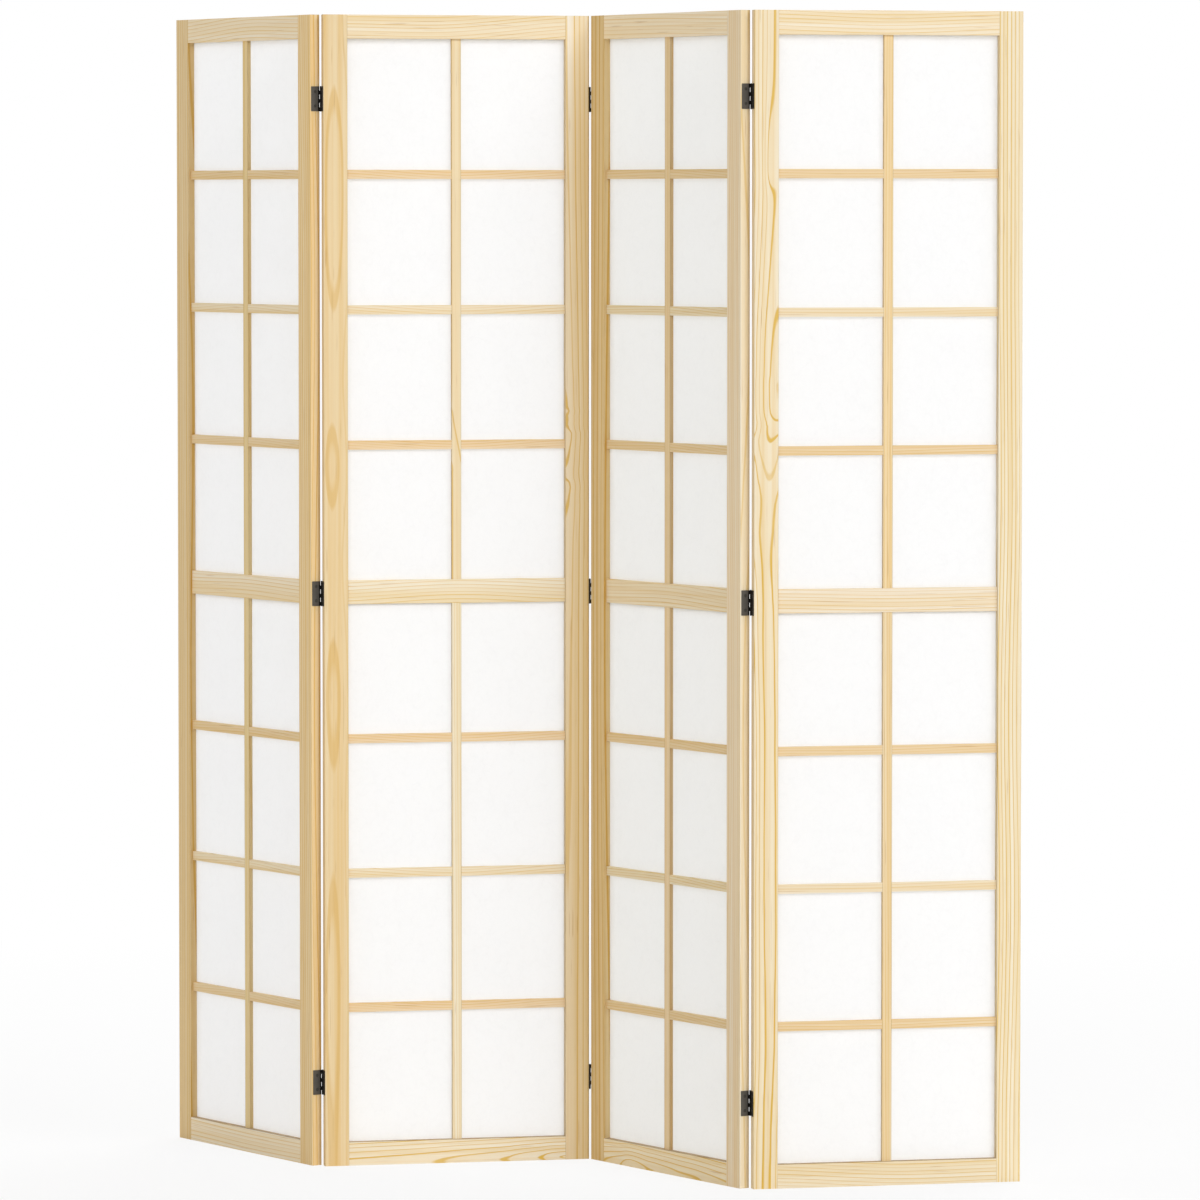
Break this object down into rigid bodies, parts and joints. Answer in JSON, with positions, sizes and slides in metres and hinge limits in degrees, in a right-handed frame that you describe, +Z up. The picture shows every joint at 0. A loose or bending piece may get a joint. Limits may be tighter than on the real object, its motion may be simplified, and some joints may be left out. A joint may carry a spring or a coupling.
{
  "type": "folding room divider",
  "caption": "Free-standing folding screen of hinged pine panels with translucent paper behind a flat wooden lattice.",
  "frame": {"origin": "on the floor, under the middle of the standing screen's bounding box", "axes": "+Z up; X along the line of the standing screen, with panel 1 at -X; -Y is the front, the side that the lattice faces"},
  "size_m": [1.3544, 0.2416, 1.7],
  "materials": {
    "pine": "clear matt pine with fine straight grain",
    "lattice_pine": "clear matt pine, slightly warmer than the frame",
    "beech_dowel": "plain turned beech",
    "washi_paper": "matt translucent white fibre paper",
    "black_steel": "satin black stamped steel",
    "pin_steel": "satin black steel wire"
  },
  "bodies": {
    "panel_1": {"panel_1_left_stile": "pine", "panel_1_right_stile": "pine", "panel_1_top_rail": "pine", "panel_1_middle_rail": "pine", "panel_1_bottom_rail": "pine", "panel_1_upper_lattice": "lattice_pine", "panel_1_lower_lattice": "lattice_pine", "panel_1_upper_paper": "washi_paper", "panel_1_lower_paper": "washi_paper", "panel_1_paper_beads": "pine", "panel_1_rail_dowels": "beech_dowel", "hinge_1_left_leaves": "black_steel", "hinge_1_left_screws": "black_steel"},
    "panel_2": {"panel_2_left_stile": "pine", "panel_2_right_stile": "pine", "panel_2_top_rail": "pine", "panel_2_middle_rail": "pine", "panel_2_bottom_rail": "pine", "panel_2_upper_lattice": "lattice_pine", "panel_2_lower_lattice": "lattice_pine", "panel_2_upper_paper": "washi_paper", "panel_2_lower_paper": "washi_paper", "panel_2_paper_beads": "pine", "panel_2_rail_dowels": "beech_dowel", "hinge_1_right_leaves": "black_steel", "hinge_1_right_screws": "black_steel", "hinge_2_left_leaves": "black_steel", "hinge_2_left_screws": "black_steel", "hinge_1_pins": "pin_steel", "hinge_2_pins": "pin_steel"},
    "panel_3": {"panel_3_left_stile": "pine", "panel_3_right_stile": "pine", "panel_3_top_rail": "pine", "panel_3_middle_rail": "pine", "panel_3_bottom_rail": "pine", "panel_3_upper_lattice": "lattice_pine", "panel_3_lower_lattice": "lattice_pine", "panel_3_upper_paper": "washi_paper", "panel_3_lower_paper": "washi_paper", "panel_3_paper_beads": "pine", "panel_3_rail_dowels": "beech_dowel", "hinge_2_right_leaves": "black_steel", "hinge_2_right_screws": "black_steel", "hinge_3_left_leaves": "black_steel", "hinge_3_left_screws": "black_steel", "hinge_3_pins": "pin_steel"},
    "panel_4": {"panel_4_left_stile": "pine", "panel_4_right_stile": "pine", "panel_4_top_rail": "pine", "panel_4_middle_rail": "pine", "panel_4_bottom_rail": "pine", "panel_4_upper_lattice": "lattice_pine", "panel_4_lower_lattice": "lattice_pine", "panel_4_upper_paper": "washi_paper", "panel_4_lower_paper": "washi_paper", "panel_4_paper_beads": "pine", "panel_4_rail_dowels": "beech_dowel", "hinge_3_right_leaves": "black_steel", "hinge_3_right_screws": "black_steel"}
  },
  "joints": [
    {"name": "fold_1", "type": "hinge", "parent": "panel_2", "child": "panel_1", "pos_m": [-0.33947, -0.10785, 0.848], "axis": [0, 0, -1], "range_deg": [-70, 110]},
    {"name": "fold_2", "type": "hinge", "parent": "panel_2", "child": "panel_3", "pos_m": [0, 0.10785, 0.848], "axis": [0, 0, -1], "range_deg": [-70, 110]},
    {"name": "fold_3", "type": "hinge", "parent": "panel_3", "child": "panel_4", "pos_m": [0.33947, -0.10785, 0.848], "axis": [0, 0, 1], "range_deg": [-70, 110]}
  ]
}
